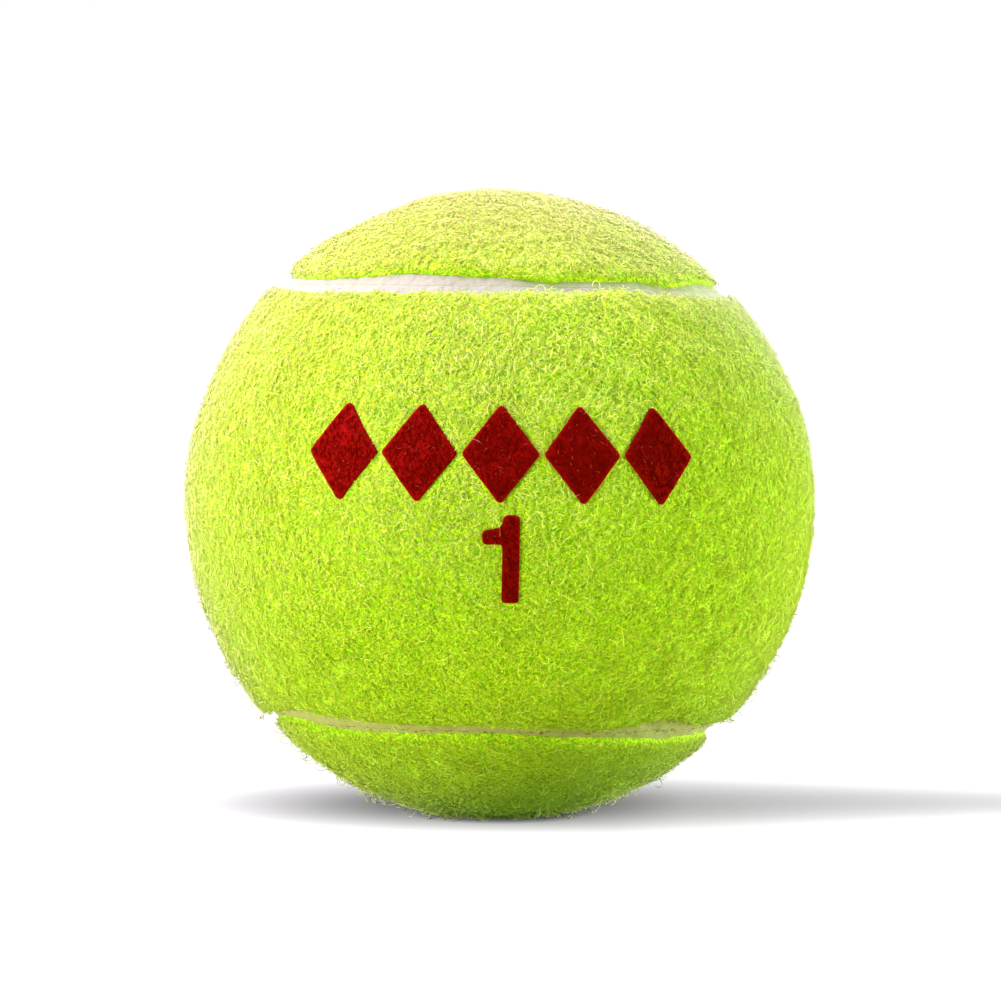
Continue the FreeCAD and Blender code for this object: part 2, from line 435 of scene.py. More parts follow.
class Finish:
    """Puts together the nodes of a material or a world. Most of its functions return a node's socket."""

    def __init__(self, owner):
        owner.use_nodes = True
        owner.node_tree.nodes.clear()
        self.owner = owner

    def add(self, kind, sockets=None, **settings):
        """Adds a node, sets its settings, sets or links its named or numbered sockets, and returns its
        outputs."""
        tree = self.owner.node_tree
        node = tree.nodes.new(f"ShaderNode{kind}")
        for key, value in settings.items():
            setattr(node, key, value)
        for key, value in (sockets or {}).items():
            if isinstance(value, bpy.types.NodeSocket):
                tree.links.new(value, node.inputs[key])
            else:
                node.inputs[key].default_value = value
        return node.outputs

    def maths(self, operation, *values):
        return self.add("Math", dict(enumerate(values)), operation=operation)[0]

    def vector(self, operation, *values):
        return self.add("VectorMath", dict(enumerate(values)), operation=operation)

    def mixed(self, factor, first, second):
        """Colour between two colours, each a socket or an RGB triple."""
        first, second = (c if isinstance(c, bpy.types.NodeSocket) else (*c, 1.0) for c in (first, second))
        return self.add("Mix", {0: factor, 6: first, 7: second}, data_type="RGBA")[2]

    def ranged(self, value, span, result=(0.0, 1.0)):
        """Goes from one end of the result to the other as value goes over the span, and no further."""
        return self.add("MapRange", dict(enumerate((value, *span, *result))))[0]

    def place(self):
        return self.add("TexCoord")["Object"]

    def noise(self, scale, place=None, detail=2.0, distortion=0.0):
        sockets = {"Scale": scale, "Detail": detail, "Distortion": distortion}
        return self.add("TexNoise", {"Vector": place or self.place(), **sockets})["Fac"]

    def filaments(self, scale, width, shift):
        """1 on thin curved lines and 0 off them: the lines on which one warped noise is at its mean, broken
        up by another."""
        moved = self.vector("ADD", self.place(), (shift, shift, shift))[0]
        warped = self.noise(scale, moved, detail=1.0, distortion=1.2)
        off_mean = self.maths("ABSOLUTE", self.maths("SUBTRACT", warped, 0.5))
        line = self.ranged(off_mean, (0.0, width), (1.0, 0.0))
        broken = self.noise(1.7 * scale, moved, detail=0.0)
        return self.maths("MULTIPLY", line, self.ranged(broken, (0.42, 0.55)))

    def bumped(self, height, millimetres):
        return self.add("Bump", {"Height": height, "Distance": millimetres * MM})["Normal"]

    def attribute(self, name):
        return self.add("Attribute", attribute_name=name)["Fac"]

    def surfaced(self, shader):
        """Ends a material in a shader's output, and returns the material."""
        self.add("OutputMaterial", {"Surface": shader})
        return self.owner

    def principled(self, body, normal, roughness, specular, sheen=0.0):
        """Ends a material in a principled shader, whose sheen is that of fine fibres."""
        sockets = {"Base Color": body, "Normal": normal}
        sockets |= {"Roughness": roughness, "Specular IOR Level": specular}
        if sheen:
            sockets |= {"Sheen Weight": sheen, "Sheen Roughness": SHEEN_ROUGHNESS}
        return self.surfaced(self.add("BsdfPrincipled", sockets)[0])


def new_finish(name):
    return Finish(bpy.data.materials.new(name))


def felt_mat_material(felt):
    """Woven, milled felt under a tangle of fine, curved fibres: deep green with patches, and darker in the
    gaps where its grain and bump are low. The deep green and the darker gaps are painted shade under the nap.
    """
    finish = new_finish("felt_mat")
    grain, patches = finish.noise(FIBRE_GRAIN), finish.noise(FELT_PATCHES)
    tangle = [finish.filaments(*line) for line in FELT_LINES]
    fine = finish.maths("MAXIMUM", tangle[0], tangle[1])
    bright = finish.maths("MULTIPLY", tangle[2], finish.ranged(patches, (0.3, 0.65), (0.2, 0.9)))
    # Painted shade: darker where the grain is low, which the bump below also sinks
    tone = finish.mixed(finish.ranged(grain, (0.42, 0.56)), felt.dark, felt.deep)
    tone = finish.mixed(finish.maths("MULTIPLY", fine, 0.85), tone, felt.fine)
    tone = finish.mixed(bright, tone, felt.bright)
    height = finish.maths("ADD", finish.maths("MAXIMUM", fine, bright), grain)
    return finish.principled(tone, finish.bumped(height, 0.16), roughness=0.6, specular=0.1, sheen=0.3)


def soft_normal(finish):
    """Normal of a thin, translucent fibre: partly that of the ball under it, for light comes through to its
    far side, and partly its own, the more the nearer it is to the place where the nap is given most contrast."""
    outwards = finish.vector("NORMALIZE", finish.place())[0]
    nearness = finish.vector("DOT_PRODUCT", outwards, CONTRAST_DIRECTION)["Value"]
    own = finish.add("NewGeometry")["Normal"]
    sockets = {0: finish.ranged(nearness, (0.6, 0.92), OWN_NORMAL), 4: outwards, 5: own}
    return finish.vector("NORMALIZE", finish.add("Mix", sockets, data_type="VECTOR")[1])[0]


def nap_material(nap, ink):
    """Dyed wool and nylon: each fibre goes from a green root to a yellow tip, which is painted shade deep in
    the nap, some are paler or greener than others, and ink covers the stretch of a fibre that lies in the
    print."""
    finish = new_finish("felt_nap")
    tone = finish.attribute("tone")
    # Painted shade: darker and greener towards the root, deep in the nap
    body = finish.mixed(finish.attribute("along"), nap.root, nap.tip)
    body = finish.mixed(finish.ranged(tone, (0.6, 1.0), (0.0, 0.8)), body, nap.pale)
    body = finish.mixed(finish.ranged(tone, (0.45, 0.0), (0.0, 0.8)), body, nap.root)
    body = finish.mixed(finish.ranged(finish.attribute("ink"), (0.49, 0.51)), body, ink.ink)
    return finish.principled(body, soft_normal(finish), roughness=0.6, specular=0.05, sheen=1.0)


def ink_material(ink):
    """Ink on matted nap: dark red, darker between the fibres, with a few fibres that took little of it."""
    finish = new_finish("inked_nap")
    grain = finish.noise(FIBRE_GRAIN, detail=3.0)
    body = finish.mixed(finish.ranged(grain, (0.35, 0.6)), ink.ink_dark, ink.ink)
    body = finish.mixed(finish.ranged(finish.attribute("tone"), (0.95, 1.0)), body, ink.ink_pale)
    return finish.principled(body, finish.bumped(grain, 0.08), roughness=0.9, specular=0.02)


def seam_material(seam):
    """Cured cement: off-white and matte, mottled and pitted, with flecks of dust along the joint of its two
    halves on the lower side of the ball. Its colour goes from the upper tone at the top to a lighter, pinker
    lower tone at the bottom, which is painted light: it makes up for the shade under the covers' edges low
    down and for the strong tinted lamps above."""
    finish = new_finish("seam_cement")
    height = finish.add("SeparateXYZ", {0: finish.place()})["Z"]
    # 0 at the top and 1 at the bottom: painted light in the seam's colour, and real dust in its flecks
    dust_and_fill = finish.ranged(height, (25 * MM, -20 * MM))
    mottle = finish.ranged(finish.noise(SEAM_MOTTLE, detail=3.0), (0.3, 0.7), (-0.25, 0.25))
    body = finish.mixed(finish.maths("ADD", dust_and_fill, mottle), seam.clean, seam.lower_tone)
    joint = finish.ranged(finish.attribute("across"), (0.2, 0.05))
    flecks = finish.maths("MULTIPLY", joint, finish.ranged(finish.noise(SEAM_FLECKS), (0.56, 0.64)))
    pits = finish.ranged(finish.noise(SEAM_PITS), (0.31, 0.25), (0.0, 0.7))
    specks = finish.maths("MAXIMUM", finish.maths("MULTIPLY", flecks, dust_and_fill), pits)
    body = finish.mixed(specks, body, seam.fleck)
    rough = finish.bumped(finish.noise(SEAM_ROUGH, detail=4.0), 0.12)
    return finish.principled(body, rough, roughness=0.75, specular=0.2)


def rubber_material(name, base, speck, roughness):
    """Moulded or brushed-on rubber: one tone with a finer speckle and a slight orange peel."""
    finish = new_finish(name)
    grain = finish.noise(RUBBER_GRAIN, detail=4.0)
    body = finish.mixed(finish.ranged(grain, (0.4, 0.65)), base, speck)
    return finish.principled(body, finish.bumped(grain, 0.05), roughness, specular=0.35)


# Felt mats

RUN_STEPS = 150  # quads along each of the four half circles
SPREAD_STEPS = 46
UNDER_STEPS = 4
CROWDING = 1.25  # how much closer the rows of the face lie towards the cut edge
WALL_SINK = 0.3 * MM  # how far the cut wall goes down past the face of the seam
MAT_CLEARANCE = 0.12 * MM  # from the floor up to the mat


def build_mat(cover, material):
    """Closed mesh of one cover's mat: its face from the middle line to the cut edge, the cut wall, and its
    back on the rubber, row by row."""
    run = np.arange(4 * RUN_STEPS) / RUN_STEPS
    edge = SEAM_ANGLE - cover.edge_gap(cover_direction(run, SEAM_ANGLE)) / BALL_RADIUS
    face_spread = (1 - np.linspace(1, 0, SPREAD_STEPS + 1)[:, None] ** CROWDING) * edge
    back_spread = np.linspace(1, 0, UNDER_STEPS + 1)[:, None] * edge
    spread = np.concatenate([face_spread, edge[None], back_spread])
    radius = np.full(spread.shape, BACKING_RADIUS)
    radius[: SPREAD_STEPS + 1] = cover.mat_radius(cover_direction(run, face_spread))
    radius[SPREAD_STEPS + 1] = SEAM_RADIUS - WALL_SINK
    points = press(cover.standing(cover_direction(run, spread) * radius[..., None]), MAT_CLEARANCE)
    faces, face_uv = ring_grid(*spread.shape, 4)
    piece = mesh_piece(f"felt_mat_{cover.side}", points, faces, material, face_uv)
    merge_doubles(piece)
    keep(piece, "felt", f"felt_{cover.side}")


# Fibres

CELL_MARGIN = 0.15  # share of a fibre's cell of the UV map that is left free on either side
STRAIGHTEST = 0.02  # least bend, in radians, so that nothing is divided by 0


def needle_triangles(rings):
    """Corner numbers of one fibre: a point, rings of three corners, and a point. Also the place of each
    corner along and round the fibre, for its UV map."""
    last = 1 + 3 * rings
    top = last - 3
    faces, places = [], []
    for side in range(3):
        after = (side + 1) % 3
        faces.append([0, 1 + after, 1 + side])
        places.append([(0, side + 0.5), (1, side + 1), (1, side)])
        for ring in range(1, rings):
            a, b = 3 * ring - 2 + side, 3 * ring - 2 + after
            faces += [[a, b, b + 3], [a, b + 3, a + 3]]
            places += [[(ring, side), (ring, side + 1), (ring + 1, side + 1)]]
            places += [[(ring, side), (ring + 1, side + 1), (ring + 1, side)]]
        faces.append([last, top + side, top + after])
        places.append([(rings + 1, side + 0.5), (rings, side), (rings, side + 1)])
    return np.array(faces), np.array(places, float) / [rings + 1, 3]


def needles(paths, thickness):
    """Fibres as closed, three-sided needles along paths (fibres, points, 3): the first and last points are
    their ends, and a small triangle stands round each point between them. Returns points, faces and UV."""
    count, stops, _ = paths.shape
    rings = stops - 2
    heading = unit(paths[:, 2:] - paths[:, :-2])
    side = unit(np.cross(heading, paths[:, 1:-1]))
    up = np.cross(side, heading)
    turns = np.pi / 2 + np.arange(3) * 2 * np.pi / 3
    round_it = np.cos(turns)[:, None] * side[:, :, None] + np.sin(turns)[:, None] * up[:, :, None]
    ring_points = paths[:, 1:-1, None] + round_it * (thickness / 2)[:, None, None, None]
    points = np.concatenate([paths[:, :1], ring_points.reshape(count, 3 * rings, 3), paths[:, -1:]], axis=1)
    triangles, places = needle_triangles(rings)
    faces = triangles + np.arange(count)[:, None, None] * (3 * rings + 2)
    cells = math.ceil(math.sqrt(count))
    cell = np.stack([np.arange(count) % cells, np.arange(count) // cells], axis=-1)
    face_uv = (cell[:, None, None] + CELL_MARGIN + (1 - 2 * CELL_MARGIN) * places) / cells
    return points.reshape(-1, 3), faces.reshape(-1, 3), face_uv.reshape(-1, 3, 2)


def per_corner(values):
    """Takes numbers (fibres, points of the path) to the needles' corners."""
    middle = np.repeat(values[:, 1:-1], 3, axis=1)
    return np.concatenate([values[:, :1], middle, values[:, -1:]], axis=1).ravel()


def joined(parts):
    """Puts several meshes (points, faces, face_uv) together as one."""
    starts = np.cumsum([0] + [len(points) for points, _, _ in parts])
    shifted = [(points, faces + start, uv) for start, (points, faces, uv) in zip(starts, parts)]
    return [np.concatenate(arrays) for arrays in zip(*shifted)]


def fibre_paths(directions, base, heading, lengths, bend, lift, lean, stops):
    """Paths over the ball: an arc of the given length and bend in the tangent plane, which rises from the
    base as half a sine wave, and by its lean stays up at the tip."""
    step = np.linspace(0, 1, stops)
    side = np.cross(directions, heading)
    turn = np.where(np.abs(bend) < STRAIGHTEST, STRAIGHTEST, bend)[:, None]
    forward = np.sin(turn * step) / turn * lengths[:, None]
    sideways = (1 - np.cos(turn * step)) / turn * lengths[:, None]
    offset = forward[..., None] * heading[:, None] + sideways[..., None] * side[:, None]
    along = unit(directions[:, None] * base[:, None, None] + offset)
    rise = lift[:, None] * ((1 - lean[:, None]) * np.sin(np.pi * step) + lean[:, None] * step)
    return along * (base[:, None] + rise)[..., None]


@dataclass
class Kind:
    """Kind of fibre: range of lengths in millimetres, deviation of the bend, range of the lift as a share of
    the nap's height, highest lean, points on the path, and how much paler than the others it is. The rest
    is what changes on the low side of the ball."""

    lengths: tuple
    bend: float
    lift: tuple
    lean: float
    stops: int
    paler: float = 0.0
    shorter: float = 0.0
    straighter: float = 0.0
    higher: float = 0.0
    leans_more: float = 0.0


KINDS = {
    "under": Kind((0.4, 0.9), 1.0, (0.1, 0.65), 0.5, 3, shorter=0.35, straighter=0.5),
    "curl": Kind((0.6, 1.3), 1.8, (0.4, 1.0), 0.7, 4, paler=0.05, shorter=0.35, straighter=0.5),
    "stray": Kind((1.2, 2.8), 3.2, (0.7, 1.2), 0.5, 7, paler=0.4, higher=1.5, leans_more=0.4),
}

SPARE = 2.4  # places drawn all over the ball for each fibre wanted on a cover
ROOT_DEPTH = 0.05 * MM  # how deep fibres are rooted in the mat, and how far inside its edge
OVERHANG = 0.1 * MM  # how far tips may reach past the cut edge
LEFT_OVERHANGING = 0.05  # share of the fibres that reach farther
LEFT_IN_PRINT = 0.03  # share of the fibres that grow in the print
LOW_BY_PRINT = 0.25  # height that fibres at the print keep
TUFT = 3.2  # scale of the tufts in millimetres
TUFT_RISE, TUFT_TONE = 0.12, 0.05  # how much higher and paler the fibres of a tuft are
LOW_SIDE = (0.1, 0.7)  # depth below the ball's middle, in radii, over which the low side begins
CONTRAST_NEARNESS = (0.65, 0.92)  # nearness to the place of most contrast over which the nap's contrast rises
TONE_SPREAD = 0.16  # deviation of the fibres' tone, and what is added to it at the place of most contrast, as painted light and shade
THICKNESSES = (0.75, 1.2)  # shares of the nap's thickness
COMBING = (math.radians(55), 0.35, 0.6)  # angle off the cover's right, its slow waves, and its spread
COMB_SCALE = 20 * MM
NOT_ZERO = 1e-9


def combed(roots, cover, rng):
    """Directions in the tangent plane that fibres leave their roots in: up and to the right or down and to
    the left in the cover's own axes, bent by slow waves over the ball, with a wide random spread."""
    right = unit(np.cross([0, 0, 1], roots) + [0, NOT_ZERO, 0])
    up = np.cross(roots, right)
    middle, wave, spread = COMBING
    slow = ripple(roots * BALL_RADIUS, COMB_SCALE, cover.seed + COMB_SEED)
    turn = middle + wave * slow + rng.normal(0, spread, len(roots)) + np.pi * rng.integers(0, 2, len(roots))
    return np.cos(turn)[:, None] * right + np.sin(turn)[:, None] * up


def grow(kind, count, cover, nap, ink, rng):
    """Paths, thickness, tone and ink of one kind of fibre on one cover, in its own axes. Fibres are low by
    the print, and hardly any grow in it."""
    directions = unit(rng.normal(size=(int(SPARE * count), 3)))
    roots = directions[cover.past_edge(directions) > ROOT_DEPTH][:count]
    to_print = print_distance(roots * BALL_RADIUS, cover, ink)
    grows = (to_print > 0) | (rng.uniform(size=len(roots)) < LEFT_IN_PRINT)
    roots, to_print, count = roots[grows], to_print[grows], grows.sum()
    tuft = ripple(roots * BALL_RADIUS, TUFT * MM, cover.seed + TUFT_SEED)
    stood = cover.standing(roots)
    low, contrast_share = share(-stood[:, 2], *LOW_SIDE), share(stood @ CONTRAST_DIRECTION, *CONTRAST_NEARNESS)
    lengths = rng.uniform(*kind.lengths, count) * MM * (1 - kind.shorter * low)
    bend = rng.normal(0, kind.bend, count) * (1 - kind.straighter * low)
    lift = rng.uniform(*kind.lift, count) * cover.felt.nap_height * (1 + TUFT_RISE * tuft)
    lift = lift * np.clip(to_print / INK_REACH, LOW_BY_PRINT, 1) * (1 + kind.higher * low**2)
    lean = kind.lean * rng.uniform(0, 1, count) ** 2 + kind.leans_more * low**2
    heading = combed(roots, cover, rng)
    base = cover.mat_radius(roots) - ROOT_DEPTH
    paths = fibre_paths(roots, base, heading, lengths, bend, lift, lean, kind.stops)
    over_edge = cover.past_edge(unit(paths[:, -1])) < -OVERHANG
    heading[over_edge & (rng.uniform(size=count) > LEFT_OVERHANGING)] *= -1
    paths = fibre_paths(roots, base, heading, lengths, bend, lift, lean, kind.stops)
    # Painted light and shade: near the place of most contrast the tone spreads wider, into paler and darker
    # fibres, as grazing light and the shade among fibres would make them
    spread = rng.normal(0, 1, count) * (TONE_SPREAD + TONE_SPREAD * contrast_share)
    tone = np.clip(0.5 + spread + TUFT_TONE * tuft + kind.paler, 0, 1)
    distance = print_distance(paths.reshape(-1, 3), cover, ink).reshape(paths.shape[:2])
    inked = np.clip(0.5 - distance / (2 * INK_REACH), 0, 1)
    return paths, nap.thickness * rng.uniform(*THICKNESSES, count), tone, inked


REGIONS = {
    "front": ("waist_left", "waist_middle", "waist_right", "lobe_left", "lobe_right"),
    "back": ("waist_lower", "waist_middle", "waist_upper", "lobe_lower", "lobe_upper"),
}
NAP_CLEARANCE = 0.06 * MM  # from the floor up to the middle of a fibre


def region_of(points):
    """Number of the region of a cover: three thirds of its waist, and its two lobes."""
    x, y, _ = points.T
    third = np.clip(np.floor(np.arctan2(-y, -x) / (np.pi / 3)), 0, 2)
    return np.where(y <= 0, third, np.where(x < 0, 3, 4)).astype(int)


def build_nap(cover, nap, ink, material):
    """The fibres of one cover, a piece for each region."""
    rng = np.random.default_rng(cover.seed)
    grown = [grow(KINDS[kind], getattr(nap, f"{kind}_count"), cover, nap, ink, rng) for kind in KINDS]
    for region, name in enumerate(REGIONS[cover.side]):
        meshes, numbers = [], {"along": [], "tone": [], "ink": []}
        for cell, fibres in enumerate(grown):
            here = region_of(fibres[0][:, 0]) == region
            paths, thickness, tone, inked = (values[here] for values in fibres)
            points, faces, face_uv = needles(press(cover.standing(paths), NAP_CLEARANCE), thickness)
            meshes.append((press(points, 0.0), faces, (face_uv + [cell % 2, cell // 2]) / 2))
            along = np.linspace(0, 1, paths.shape[1])
            for values, own in zip(numbers.values(), (along, tone[:, None], inked)):
                values.append(per_corner(np.broadcast_to(own, inked.shape)))
        numbers = {key: np.concatenate(values) for key, values in numbers.items()}
        points, faces, face_uv = joined(meshes)
        keep(mesh_piece(f"nap_{cover.side}_{name}", points, faces, material, face_uv, numbers), "felt")


# Print

INK_REACH = 0.8 * MM  # how far from an outline the distance to it matters
ARC_STEPS = 6  # points on the arc of each corner
OUTLINE_SPACING = 0.2 * MM
PATCH_RINGS = 20
PATCH_SINK = 0.5  # how deep a patch's underside lies in the mat, as a share of the lift of its face
INKED_HALF_LENGTHS = (0.15, 0.4)  # in millimetres
INKED_BEND = 0.15  # deviation, as a share of the half length
INKED_MARGIN = 0.04 * MM  # from inked fibres to the outline
INKED_LIFTS = (0.02, 0.12)  # of a fibre's middle over the patch, in millimetres
INKED_END_LIFT = 0.2  # lift of its ends, as a share of that
INKED_THICKNESSES = (0.9, 1.4)  # shares of the nap's thickness


def rounded_outline(corners):
    """Points (n, 2) of a closed outline through corners (x, z, radius): an arc of that radius at each."""
    places, radii = np.array(corners)[:, :2], np.array(corners)[:, 2]
    back = unit(np.roll(places, 1, axis=0) - places)
    ahead = unit(np.roll(places, -1, axis=0) - places)
    half = np.arccos((back * ahead).sum(axis=1)) / 2
    centres = places + unit(back + ahead) * (radii / np.sin(half))[:, None]
    start = places + back * (radii / np.tan(half))[:, None] - centres
    end = places + ahead * (radii / np.tan(half))[:, None] - centres
    first = np.arctan2(start[:, 1], start[:, 0])
    sweep = np.arctan2(end[:, 1], end[:, 0]) - first
    sweep = (sweep + np.pi) % (2 * np.pi) - np.pi
    angles = first[:, None] + sweep[:, None] * np.linspace(0, 1, ARC_STEPS)
    arcs = centres[:, None] + radii[:, None, None] * np.stack([np.cos(angles), np.sin(angles)], axis=-1)
    return arcs.reshape(-1, 2)


def evenly(outline):
    """Points of a closed outline at an even spacing along it."""
    closed = np.concatenate([outline, outline[:1]])
    travelled = np.concatenate([[0], np.cumsum(np.linalg.norm(np.diff(closed, axis=0), axis=1))])
    count = math.ceil(travelled[-1] / OUTLINE_SPACING)
    places = np.linspace(0, travelled[-1], count, endpoint=False)
    return np.stack([np.interp(places, travelled, axis) for axis in closed.T], axis=-1)


def outline_distance(places, outline):
    """Signed distance of places (n, 2) from a closed outline, negative inside: the least distance from its
    sides, with the sign from how many sides a line to the right crosses."""
    start, end = outline, np.roll(outline, -1, axis=0)
    side = end - start
    to_place = places[:, None] - start
    part = np.clip((to_place * side).sum(axis=-1) / (side * side).sum(axis=-1), 0, 1)
    least = np.linalg.norm(to_place - part[..., None] * side, axis=-1).min(axis=1)
    spans = (start[:, 1] > places[:, None, 1]) != (end[:, 1] > places[:, None, 1])
    rise = np.where(side[:, 1] == 0, 1, side[:, 1])
    crossing = start[:, 0] + side[:, 0] * (places[:, None, 1] - start[:, 1]) / rise
    inside = (spans & (crossing > places[:, None, 0])).sum(axis=1) % 2 == 1
    return np.where(inside, -least, least)


def own_box(node, felt):
    """Lowest and highest corner of a CAD node in the front cover's own axes."""
    corners = corners_of(node) @ stand_matrix(felt)
    return corners.min(axis=0), corners.max(axis=0)


def number_outline(ink, felt):
    """The figure 1: a round-topped stem with a flag that climbs to it from the left."""
    (tip, _, foot), (right, _, top) = own_box("printed_number", felt)
    left = right - ink.number_stem
    flag_top = top - ink.number_drop
    flag_foot = flag_top - ink.number_flag
    return rounded_outline(
        [
            (left, foot, ink.number_corner_radius),
            (right, foot, ink.number_corner_radius),
            (right, top, ink.number_top_radius),
            (left, top, ink.number_top_radius),
            (left, flag_top + ink.number_rise, ink.number_root_radius),
            (tip, flag_top, ink.number_tip_radius),
            (tip, flag_foot, ink.number_tip_radius),
            (left, flag_foot, ink.number_corner_radius),
        ]
    )


def lozenge_outline(ink, felt):
    low, high = own_box("printed_lozenges", felt)
    middle, half, radius = (low[2] + high[2]) / 2, ink.lozenge_width / 2, ink.lozenge_corner_radius
    return rounded_outline(
        [(0, low[2], radius), (half, middle, radius), (0, high[2], radius), (-half, middle, radius)]
    )


def lozenge_turns(ink):
    """Angle of each lozenge round Z from the front."""
    pitch = (ink.lozenge_width + ink.lozenge_gap) / BALL_RADIUS
    return (np.arange(ink.lozenge_count) - (ink.lozenge_count - 1) / 2) * pitch


def print_distance(points, cover, ink):
    """Signed distance of points, in a cover's own axes, from the nearest printed outline, and INK_REACH for
    all that lie farther."""
    distance = np.full(len(points), INK_REACH)
    if cover.side == "back":
        return distance
    high = own_box("printed_lozenges", cover.felt)[1] + INK_REACH
    foot = own_box("printed_number", cover.felt)[0][2] - INK_REACH
    x, y, z = points.T
    near = (y < 0) & (np.abs(x) < high[0]) & (z > foot) & (z < high[2])
    turns = lozenge_turns(ink)
    nearest = np.abs(np.arctan2(x[near], -y[near])[:, None] - turns).argmin(axis=1)
    faced = turned_about_z(points[near], -turns[nearest])
    to_lozenge = outline_distance(faced[:, [0, 2]], lozenge_outline(ink, cover.felt))
    to_number = outline_distance(points[near][:, [0, 2]], number_outline(ink, cover.felt))
    distance[near] = np.minimum(np.minimum(to_lozenge, to_number), INK_REACH)
    return distance


def on_felt(places, turn, lift, cover):
    """Points of the felt's mat, raised by lift, behind places (..., 2) at the front, and turned about Z."""
    x, z = places[..., 0], places[..., 1]
    nominal = np.stack([x, -np.sqrt(BALL_RADIUS**2 - x**2 - z**2), z], axis=-1)
    radius = cover.mat_radius(unit(turned_about_z(nominal, turn))) + lift
    return turned_about_z(np.stack([x, -np.sqrt(radius**2 - x**2 - z**2), z], axis=-1), turn)


def patch(outline, centre, turn, ink, cover):
    """Closed sheet of matted nap inside an outline: rings shrink from the outline to the centre on the face,
    and grow back on the underside, which lies in the mat."""
    shrink = np.concatenate([np.linspace(0, 1, PATCH_RINGS), np.linspace(1, 0, PATCH_RINGS)])
    places = centre + shrink[:, None, None] * (evenly(outline) - centre)
    lift = np.repeat([ink.lift, -PATCH_SINK * ink.lift], PATCH_RINGS)[:, None]
    quads, quad_uv = ring_grid(*places.shape[:2])
    faces, face_uv = (np.concatenate([of[:, [2, 1, 0]], of[:, [3, 2, 0]]]) for of in (quads, quad_uv))
    return cover.standing(on_felt(places, turn, lift, cover).reshape(-1, 3)), faces, face_uv


def inked_fibres(outline, turn, ink, cover, rng):
    """Paths of short fibres that lie flat on the matted nap, wholly inside the outline."""
    low, high = outline.min(axis=0), outline.max(axis=0)
    count = int(np.prod(high - low) / MM**2 * ink.fibres_per_mm2)
    turns = rng.uniform(0, 2 * np.pi, count)
    along = np.stack([np.cos(turns), np.sin(turns)], axis=-1)
    along = along * rng.uniform(*INKED_HALF_LENGTHS, (count, 1)) * MM
    paths = rng.uniform(low, high, (count, 1, 2)) + along[:, None] * np.array([[-1], [0], [1]])
    paths[:, 1] += along[:, ::-1] * [-1, 1] * rng.normal(0, INKED_BEND, (count, 1))
    distance = outline_distance(paths.reshape(-1, 2), outline).reshape(count, 3)
    paths = paths[distance.max(axis=1) < -INKED_MARGIN]
    raised = rng.uniform(*INKED_LIFTS, (len(paths), 1)) * MM
    return on_felt(paths, turn, ink.lift + raised * [INKED_END_LIFT, 1.0, INKED_END_LIFT], cover)


def build_print(scene, name, outline, centre, turns):
    """One print: for each turn a patch of matted nap and its fibres, all in one piece."""
    cover, ink = both_covers(scene)[0], scene.ball_print
    rng = np.random.default_rng(cover.seed + PRINT_SEED)
    meshes, tones = [], []
    for cell, turn in enumerate(turns):
        sheet = patch(outline, centre, turn, ink, cover)
        paths = inked_fibres(outline, turn, ink, cover, rng)
        thickness = scene.ball_nap.thickness * rng.uniform(*INKED_THICKNESSES, len(paths))
        fibres = needles(cover.standing(paths), thickness)
        for row, (points, faces, face_uv) in enumerate((sheet, fibres)):
            meshes.append((points, faces, (face_uv + [cell, row]) / [len(turns), 2]))
        tones += [np.full(len(sheet[0]), 0.5), np.repeat(rng.uniform(0, 1, len(paths)), 5)]
    points, faces, face_uv = joined(meshes)
    numbers = {"tone": np.concatenate(tones)}
    piece = mesh_piece(name, points, faces, ink_material(ink), face_uv, numbers)
    merge_doubles(piece)
    keep(piece, "ink", f"printed_{name}")


# Seam

SEAM_STEPS = 250
SEAM_ROWS = 11
SEAM_CROWDING = 1.4  # how much closer the rows of the face lie towards the joint
SEAM_WAVES = ((0.8, 7.0), (0.5, 1.6))  # shares of the seam's wave, and their scales in millimetres
SEAM_SEED = 60
JOINT_BREADTH = 0.15 * MM


def build_seam(cover, seam, material):
    """One cover's share of the seam: a closed bar along it, whose face waves a little and dips at the joint
    of the two, by a bell curve of the way from it. Its back lies on the coat."""
    run = np.arange(4 * SEAM_STEPS) / SEAM_STEPS
    across = np.linspace(0, 1, SEAM_ROWS)[:, None] ** SEAM_CROWDING * seam.half_width
    face_spread = SEAM_ANGLE - across / BALL_RADIUS
    shared = cover.standing(cover_direction(run, face_spread) * BALL_RADIUS)
    dip = seam.joint_dip * np.exp(-((across / JOINT_BREADTH) ** 2))
    face_radius = SEAM_RADIUS + seam.wave * ripples(shared, SEAM_WAVES, SEAM_SEED) - dip
    spread = np.concatenate([face_spread, face_spread[[-1, 0]]])
    radius = np.concatenate([face_radius, np.full((2, len(run)), COAT_RADIUS)])
    bar = cover.standing(cover_direction(run, spread) * radius[..., None])
    faces, face_uv = ring_grid(*radius.shape, 4, wrap_rows=True)
    off_joint = np.concatenate([across / seam.half_width, np.ones((2, 1))])
    numbers = {"across": np.broadcast_to(off_joint, radius.shape)}
    piece = mesh_piece(f"seam_{cover.side}", bar, faces[:, ::-1], material, face_uv[:, ::-1], numbers)
    keep(piece, "seam", f"seam_edging_{cover.side}")


# Stage

FLOOR_STEPS = 8
SHADOW_NARROWS = 12 * MM  # how far right of the ball's middle its shadow starts to narrow
TAIL_START = 20 * MM  # and where its long right end starts
TIP_HALF_DEPTH = 1 * MM  # of the shadow at the tip of that end
TIP_DARKNESS = 0.1  # share of the darkness that is left at the tip
TOUCH = (7 * MM, 10 * MM)  # distance from the ball's middle over which the floor's glow rises out of a painted contact shadow to its full strength
TOUCH_GLOW = 0.3  # glow right under the ball, in that painted contact shadow
CLIP_RANGE = (0.01, 20.0)  # nearest and farthest that the camera sees, in metres

